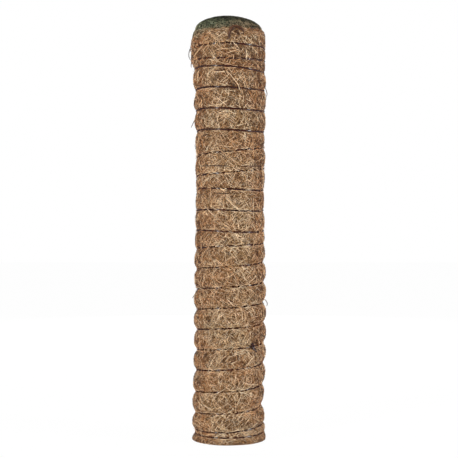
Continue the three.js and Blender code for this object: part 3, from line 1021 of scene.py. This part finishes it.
def drawn_tube_tree():
    """Tubes along given lines, which can be made to cling to a surface. Each line has a tone of its own."""
    graph = GeometryGraph("drawn_tube", TUBE_SIZES)
    given = graph.given
    tone = graph.random(given["Darkest"], given["Palest"], 15)
    lines = graph.store(given["Geometry"], "tone", tone, domain="CURVE")
    lines = graph.with_run(graph.store(lines, "warmth", given["Warmth"]))
    place = graph.add("GeometryNodeInputPosition")
    laid = place + (graph.cling(place, given["Lift"]) - place) * given["Cling"]
    return graph.finish(graph.move(lines, laid), given["Radius"], given["Taper"], given["Sides"])


def drawn(name, lines, **sizes):
    """A tube along an open line through each list of points."""
    data = bpy.data.curves.new(name + "_route", "CURVE")
    data.dimensions = "3D"
    for points in lines:
        line = data.splines.new("POLY")
        line.points.add(len(points) - 1)
        line.points.foreach_set("co", np.column_stack([points, np.ones(len(points))]).ravel())
    path = show(data)
    made = run_tree(name, path, TUBES, **sizes)
    bpy.data.objects.remove(path)
    return made


TUBES = drawn_tube_tree()
print("tube tree:", len(TUBES.nodes), "nodes")

# %% Thread finish
def thread_material():
    """Dark plum nylon, a little browner in places, with a clear shine."""
    material, graph = new_material("plum_thread")
    colour = ramp(graph, mottle(graph, 160.0), tones((0.3, 35, 10, 6), (0.7, 54, 19, 11)))
    shine = dict(Specular_IOR_Level=0.0, Coat_Weight=0.2, Coat_Roughness=0.16, Coat_IOR=2.5)
    finish_surface(graph, Base_Color=colour, Roughness=0.5, **shine)
    return material


plum_thread = thread_material()

# %% Thread along its winding
STEPS_PER_TURN = 72
# Where the thread lies higher or lower in its groove: the pass from the top, the place round the pole and the
# reach in turns, and how much in millimetres
TIGHTNESS = [
    (2, 0.11, 0.05, 0.5), (5, 0.07, 0.1, 0.6), (7, 0.0, 0.06, -0.35), (7, 0.11, 0.05, 0.3),
    (9, 0.11, 0.05, 0.5), (10, -0.05, 0.12, 0.4), (10, 0.11, 0.05, 0.4), (13, -0.11, 0.05, 0.3),
    (13, 0.11, 0.05, 0.25), (15, 0.0, 0.05, 0.2), (15, 0.11, 0.05, -0.35), (18, -0.11, 0.05, -0.2),
]


def slack(turns):
    """How much higher than its groove the thread lies."""
    higher = -0.12 * MM * near_foot(thread_height(turns))
    for passes_down, place, reach, more in TIGHTNESS:
        higher += more * MM * bell(turns, LAST_TURN - passes_down + place, reach)
    return higher


def thread_route(turns):
    """Points along the middle of the thread."""
    z = thread_height(turns)
    groove = crest_radius(z) - neck(z) - groove_depth(z) + uneven(turns, z)
    return settle(on_pole(turns, groove + THREAD_RADIUS + slack(turns), z))


def bound(name, points, radius):
    """A piece of the thread along those points."""
    return drawn(name, [points], Radius=radius / MM, **NYLON)


START, END = -END_OVERLAP, LAST_TURN + END_OVERLAP
turns = np.linspace(START, END, round((END - START) * STEPS_PER_TURN))
thread_points = thread_route(turns)
NYLON = dict(Sides=8, Taper=0.0, Cling=0.0, Material=plum_thread, mapped=False)
binding = bound("plum_binding_thread", thread_points, SHOWN_RADIUS)
print("thread length:", round(np.linalg.norm(np.diff(thread_points, axis=0), axis=1).sum(), 2), "m")

# %% Stopper knots at the thread's two ends
KNOT_THREAD = 0.42 * MM
KNOT_TURNS = 2.5
KNOT_RADIUS = 0.72 * MM
KNOT_PITCH = 0.92 * MM
KNOT_STEPS = 64
KNOT_LIFT = 0.3 * MM
KNOT_CLIMB = 0.35 * MM
TAIL_LENGTH = 7 * MM
TAIL_DROP = 2.2 * MM
TAIL_STEPS = 24
TAIL_OFF_MAT = 0.35 * MM
TAIL_OFF_FLOOR = 0.8 * MM


def knot_route(tip, before):
    """Turns round the thread's own line just past its tip, then a tail that drops back onto the mat."""
    along = (tip - before) / np.linalg.norm(tip - before)
    out = np.array([tip[0], tip[1], 0])
    out = out - along * (out @ along)
    out = out / np.linalg.norm(out)
    up = np.cross(along, out)
    share = np.linspace(0, 1, KNOT_STEPS)
    angle = 2 * np.pi * KNOT_TURNS * share
    advance = KNOT_TURNS * KNOT_PITCH * share
    grow = KNOT_RADIUS * ease(share, 0, 0.12)
    middle = tip + KNOT_LIFT * out + np.outer(advance, along) + np.outer(KNOT_CLIMB * share, out)
    coil = middle + np.outer(grow * np.cos(angle), out) + np.outer(grow * np.sin(angle), up)
    reach = np.linspace(0, 1, TAIL_STEPS)[1:]
    tail = coil[-1] + np.outer(TAIL_LENGTH * reach, along) + np.outer(-TAIL_DROP * reach**2, up)
    radial = np.linalg.norm(tail[:, :2], axis=1)
    rest = crest_radius(tail[:, 2]) + TAIL_OFF_MAT
    pulled = radial + (rest - radial) * ease(reach, 0, 0.5)
    tail[:, :2] *= (pulled / radial)[:, None]
    tail[:, 2] = np.maximum(tail[:, 2], TAIL_OFF_FLOOR)
    return np.vstack([coil, tail])


foot_knot = bound("foot_stopper_knot", knot_route(*thread_points[:2]), KNOT_THREAD)
top_knot = bound("top_stopper_knot", knot_route(*thread_points[:-3:-1]), KNOT_THREAD)

# %% [markdown]
# ## Marks of this pole
# No two poles are alike. On this one a tuft of reddish coir stands at the rim. Long pale fibres and a few
# dark strands lie across the turns, some hairs stand off the sides, and a doubled end of thread has come
# loose. Three short dark strands at the rim are painted shade, inside the tuft and in a gap at the rim.
# All are drawn one by one, from places in millimetres across and up, and the tube tree lays them on
# the mat.

# %% Lines over the front of the mat
def smooth_line(places, count=14):
    """A smooth line through a few places."""
    places = np.array(places, dtype=float)
    share = np.linspace(0, 1, len(places))
    fit = np.polyfit(share, places, min(5, len(places) - 1))
    at = np.linspace(0, 1, count)
    return np.stack([np.polyval(column, at) for column in fit.T], 1) * MM


def over_front(places):
    x, z = smooth_line(places).T
    # A little outside the mat, which the tube tree then draws them onto
    radius = (27 - 3 * ease_mm(z, 279, 289)) * MM
    return np.column_stack([x, -np.sqrt(np.maximum(radius**2 - x * x, 0)), z])


def beside(places):
    """A line that stands off the side of the pole, near the plane through its middle."""
    x, z = smooth_line(places).T
    return np.column_stack([x, np.full(len(x), -2 * MM), z])


PALE_FIBRES = [
    [(-24.9, 269.4), (-17, 277.3)], [(2.1, 278.8), (7.2, 273.4)], [(-3.4, 269.4), (7.2, 273)],
    [(-9, 272.7), (4.1, 273.7)], [(12, 273.3), (12.4, 265.4)], [(-13.8, 273.4), (-8.3, 265.5)],
    [(16.4, 274.9), (20.5, 271.1)], [(-13.1, 258.3), (-9.4, 261.7)], [(-10.5, 257.4), (-2.7, 257.6)],
    [(-1.2, 257.8), (4.3, 251.2), (9.3, 243.7)], [(10.7, 257.7), (5.3, 250.5)], [(-9.7, 241), (-1.6, 233.5)],
    [(-7.3, 234), (-0.1, 238.5)], [(-3.4, 245.4), (-0.1, 241.8)], [(-6.6, 225.3), (-1.6, 228.8)],
    [(8.2, 224.4), (10.7, 221.4)], [(10.7, 221.4), (5.5, 219.9)], [(12, 216.6), (12.1, 208.7)],
    [(-1.6, 101.6), (3.4, 95.5)], [(-9, 87.3), (-3.7, 91.2)], [(4.1, 92.2), (5.3, 87.2)],
    [(-3.4, 71.2), (-0.3, 75)], [(-12.4, 70.5), (-9, 66.5)], [(-19.1, 27.5), (-12.4, 23.4)],
    [(-8.1, 15), (-1.6, 9.4)], [(5.3, 49.8), (4.1, 44)],
]
DARK_STRANDS = [
    [(-22.4, 193.2), (-8, 193), (0, 192.7)], [(5, 193), (14, 192.8), (23.1, 193.3)],
    [(-10.3, 174.2), (6.9, 174.2)], [(-22, 214.1), (-15.9, 215.8)], [(19.8, 107.2), (23.9, 109.9)],
    # The three short strands at the rim are painted shade, inside the tuft and in a gap at the rim
    [(4.6, 285.6), (6.7, 285.1)], [(5, 284.9), (6.4, 285.8)], [(15, 288.6), (17, 288.2)],
    [(-11.3, 258.4), (-7, 258.9), (-3.5, 258.8)],
]
SIDE_HAIRS = [
    [(-25.5, 278.3), (-27.7, 275.8), (-28.4, 272.3), (-28, 269.8), (-27, 268.4)],
    [(-25.9, 268.4), (-26.7, 265.6), (-26.6, 263.1)], [(-23.4, 227.7), (-25.2, 224.2), (-26.8, 220.7)],
    [(25.2, 249.3), (26.8, 245.4), (26.2, 242.6)], [(-23.1, 104.3), (-24.5, 102.2), (-26, 100.1)],
    [(25, 99.4), (27, 96.9), (26.6, 94.4)],
]
LAID = dict(Rests_On=bridge_ground, Cling=1.0, Sides=4, Taper=0.6, Material=coir_fibre)
pale_fibres = drawn(
    "long_pale_fibres", map(over_front, PALE_FIBRES), Lift=0.55, Radius=0.17,
    Darkest=0.75, Palest=1.0, Warmth=0.3, **LAID,
)
dark_strands = drawn(
    "dark_strands", map(over_front, DARK_STRANDS), Lift=0.5, Radius=0.32,
    Darkest=0.02, Palest=0.15, Warmth=0.7, **LAID,
)
side_hairs = drawn(
    "side_hairs", map(beside, SIDE_HAIRS), Radius=0.26,
    Darkest=0.0, Palest=0.2, Warmth=0.3, **(LAID | dict(Cling=0.0)),
)

# %% Tuft at the rim and loose end of thread
TUFT_FIBRES = 18
TUFT_MIDDLE = (5, 283.5)
chance = np.random.default_rng(7)


def tuft_line():
    """An arch from foot to foot of the tuft, a little different each time."""
    across, up = TUFT_MIDDLE + chance.normal(0, 0.5, 2)
    wide, high = chance.uniform(3.9, 5.3), chance.uniform(4.4, 6)
    angle = np.linspace(0, chance.uniform(0.75, 1) * np.pi, 6)
    arch = np.column_stack([across - wide * np.cos(angle), up + high * np.sin(angle)])
    return over_front(np.vstack([(across - wide - 0.5, up - 3.5), arch]))


tuft = drawn(
    "rim_tuft", [tuft_line() for _ in range(TUFT_FIBRES)], Lift=0.75, Radius=0.2,
    Darkest=-0.1, Palest=0.28, Warmth=0.9, **LAID,
)
LOOSE_ENDS = [
    [(16.6, 69.2), (17.8, 67.4), (18.8, 66.2), (20.2, 64)],
    [(17.4, 69.6), (18.6, 67.9), (20, 66.4)],
]
LOOSE = NYLON | dict(Rests_On=bridge_ground, Cling=1.0)
loose_end = drawn("loose_thread_end", map(over_front, LOOSE_ENDS), Lift=0.6, Radius=0.5, **LOOSE)

# %% [markdown]
# ## The netting on the dome
# The green netting is a soft knit drawn over the pipe cap. Close to, it is a lattice of fine yarn with fuzz
# standing off it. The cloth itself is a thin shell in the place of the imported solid. A tree drapes two sets
# of yarns over it, measured along the dome from its top, and the fibre tree adds the fuzz.

# %% Netting finishes
def netting_material():
    """Dark green knit, greyer lower down; painted shade makes it nearly black at the top, seen edge on."""
    material, graph = new_material("green_netting")
    _, _, height = graph.split(graph.add("ShaderNodeTexCoord", out="Object"))
    rise = (height - SHOULDER) / NET_CROWN
    fine = mottle(graph, 1100.0)
    colour = ramp(graph, fine, tones((0.35, 20, 25, 19), (0.7, 58, 70, 55)))
    # Painted shade: nearly black towards the top, where the knit is seen edge on
    colour = mix_colours(graph, rise * 0.6, colour, (*linear(18, 21, 16), 1))
    normal = bump(graph, fine, 0.5, 0.3 * MM)
    finish_surface(graph, Base_Color=colour, Roughness=0.85, Specular_IOR_Level=0.25, Normal=normal)
    return material


GREEN = tones((0, 16, 19, 13), (0.35, 50, 58, 42), (0.7, 106, 114, 88), (1, 168, 170, 142))
GREY_BROWN = tones((0, 30, 26, 20), (0.35, 84, 72, 56), (0.7, 142, 120, 92), (1, 196, 170, 136))
green_netting = netting_material()
green_yarn = fibre_material("green_yarn", GREEN, GREY_BROWN, 0.7, 0.12)

# %% Netting cloth
NET_THICKNESS = 0.3 * MM
NET_FOLD = 263.8 * MM
NET_ROWS = 24
TOP_RISE = 0.05 * MM


def shell_mesh(name, outside, inside):
    """A thin turned shell with closed tops. Each side is a list of (radius, height) from its top down."""
    rings = np.array(outside + inside[::-1])
    points = on_pole(AROUND, rings[:, :1], rings[:, 1:])
    tops = np.array([[0, 0, side[0][1] + TOP_RISE] for side in (outside, inside)])
    points = lean(np.vstack([points.reshape(-1, 3), tops]))
    last = (len(rings) - 1) * COLUMNS
    faces = [face[::-1] for face in grid_faces(len(rings)).tolist()]
    for i in range(COLUMNS):
        after = (i + 1) % COLUMNS
        faces.append([len(points) - 2, i, after])
        faces.append([len(points) - 1, last + after, last + i])
    return new_mesh(name, points, faces)


def net_side(inset):
    """One side of the cloth from the top of the dome down to the tail under the band."""
    heights = SHOULDER + (DOME_TOP - SHOULDER) * np.cos(np.linspace(0, math.pi / 2, NET_ROWS)[1:])
    dome = [(net_radius(z) - inset, z - inset * (z - SHOULDER) / NET_CROWN) for z in heights]
    tail, fold = TAIL_RADIUS - inset, NET_FOLD + inset
    return dome + [(NET_RADIUS - inset, fold), (tail, fold), (tail, TAIL_FOOT + SEAT_GAP)]


net_cloth = show(shell_mesh("green_net_cloth", net_side(0), net_side(NET_THICKNESS)))
net_cloth.data.materials.append(green_netting)
net_area = sum(face.area for face in net_cloth.data.polygons) / 2
print("netting area:", round(net_area * 1e4, 1), "square cm")

# %% Yarns draped over the dome
YARN_SETS = [(40, -0.1 * MM), (-50, 0.05 * MM)]
NET_SIZES = {
    "Int": ["Yarns", "Points"],
    "Length": ["Reach", "Dome Arc", "Yarn Radius"],
    "Material": ["Material"],
}


def flat_yarns(graph):
    """Parallel yarns on the flat net, each as long as the round cut allows."""
    given = graph.given
    row = graph.add("GeometryNodeMeshLine", Count=given["Yarns"], Offset=(0, 0, 0))
    offset = (graph.add("GeometryNodeInputIndex") + 0.5) / given["Yarns"] * 2 - 1
    row = graph.store(row, "offset", offset * given["Reach"])
    row = graph.store(row, "tone", graph.random(0.0, 0.6, 21))
    row = graph.store(row, "warmth", graph.random(0.0, 0.4, 22))
    aside = graph.read("offset")
    half = graph.call("SQRT", given["Reach"] ** 2 - aside * aside)
    return graph.move(graph.lines_on(row), graph.join(graph.from_middle() * half, aside))


def crossed(graph, yarns):
    """Two sets of yarns at right angles, one of them lying over the other."""
    both = graph.tree.nodes.new("GeometryNodeJoinGeometry")
    for degrees, lift in YARN_SETS:
        turn = (0, 0, math.radians(degrees))
        turned = graph.add("GeometryNodeTransform", Geometry=yarns, Rotation=turn)
        graph.feed(both.inputs[0], graph.store(turned, "lift", lift))
    return Wire(graph, both.outputs[0])


def draped_net_tree():
    """Bends the flat net over the dome. How far a point lies from its middle becomes an arc from the top."""
    graph = GeometryGraph("draped_net", NET_SIZES)
    yarns = crossed(graph, flat_yarns(graph))
    x, y, _ = graph.split(graph.add("GeometryNodeInputPosition"))
    reach = graph.call("SQRT", x * x + y * y)
    around = graph.call("ARCTAN2", y, x)
    arc = graph.given["Dome Arc"]
    slope = graph.call("MINIMUM", reach / arc, 1.0) * (math.pi / 2)
    out = graph.call("SINE", slope) ** (2 / DOME_WIDTH_POWER) * (NET_RADIUS + graph.read("lift"))
    crown = DOME_TOP - SHOULDER + graph.read("lift")
    rise = graph.call("COSINE", slope) ** (2 / DOME_RISE_POWER) * crown
    drop = graph.call("MAXIMUM", reach - arc, 0.0)
    leaned = graph.call("COSINE", around) * out - rise * (DOME_LEAN / NET_CROWN)
    place = graph.join(leaned, graph.call("SINE", around) * out, SHOULDER + rise - drop)
    return graph.finish(graph.move(yarns, place), graph.given["Yarn Radius"], taper=0.0, sides=3)


net_yarns = run_tree(
    "green_net_yarns", net_cloth, draped_net_tree(), Yarns=56, Points=40, Reach=35, Dome_Arc=29,
    Yarn_Radius=0.2, Material=green_yarn,
)
net_fuzz = lay(
    "green_net_fuzz", felt_ground, "netted", green_yarn, Density=1800000.0, Seed=61, Points=4, Lowest=280,
    Highest=301, Shortest=1.5, Longest=4, Thinnest=0.1, Thickest=0.18, Bend=0.2, Wave=0.02, Least_Lift=0,
    Most_Lift=0.2, Tip_Lift=0.3, Darkest=0.0, Palest=1.0, **ANY_WAY,
)

# %% [markdown]
# ## Pipe, cap and band
# These pieces are hidden but for the cut end of the pipe at the foot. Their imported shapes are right, so they
# stay and only get a material: grey moulded plastic with faint scuffs, and matte black rubber for the band.

# %% Plastic and rubber
def moulded_material(name, dark, pale, roughness):
    material, graph = new_material(name)
    cloud = mottle(graph, 60.0, 4.0)
    colour = ramp(graph, cloud, [(0.3, dark), (0.7, pale)])
    scuffed = roughness + (cloud - 0.5) * 0.25
    normal = bump(graph, mottle(graph, 1500.0), 0.15, 0.1 * MM)
    finish_surface(graph, Base_Color=colour, Roughness=scuffed, Normal=normal)
    return material


def dress(node, material):
    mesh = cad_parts[node].data
    mesh.materials.clear()
    mesh.materials.append(material)


pipe_plastic = moulded_material("grey_pipe_plastic", linear(186, 187, 184), linear(212, 212, 208), 0.42)
dress("core_tube", pipe_plastic)
dress("end_cap", pipe_plastic)
dress("net_band", moulded_material("band_rubber", linear(26, 26, 26), linear(42, 41, 40), 0.7))

# %% [markdown]
# ## Hand the pieces over
# The pole doesn't move, so every piece rides on its one body. Each says which imported solid it stands for,
# and that solid is hidden.

# %% Ride and replace
for piece, slot, replaced in [
    (coir_bed, "coir", ["coir_mat"]),
    *[(piece, "coir", []) for piece in [*matted, bridging, covering, stray]],
    *[(piece, "coir", []) for piece in [pale_fibres, dark_strands, side_hairs, tuft]],
    (binding, "thread", ["binding_thread"]),
    (loose_end, "thread", []),
    (foot_knot, "thread", ["foot_knot"]),
    (top_knot, "thread", ["top_knot"]),
    (net_cloth, "netting", ["net_cap"]),
    (net_yarns, "netting", []),
    (net_fuzz, "netting", []),
]:
    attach(piece, BODY)
    if replaced:
        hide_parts(*replaced)

for helper in (felt_ground, bridge_ground):
    bpy.data.objects.remove(helper)
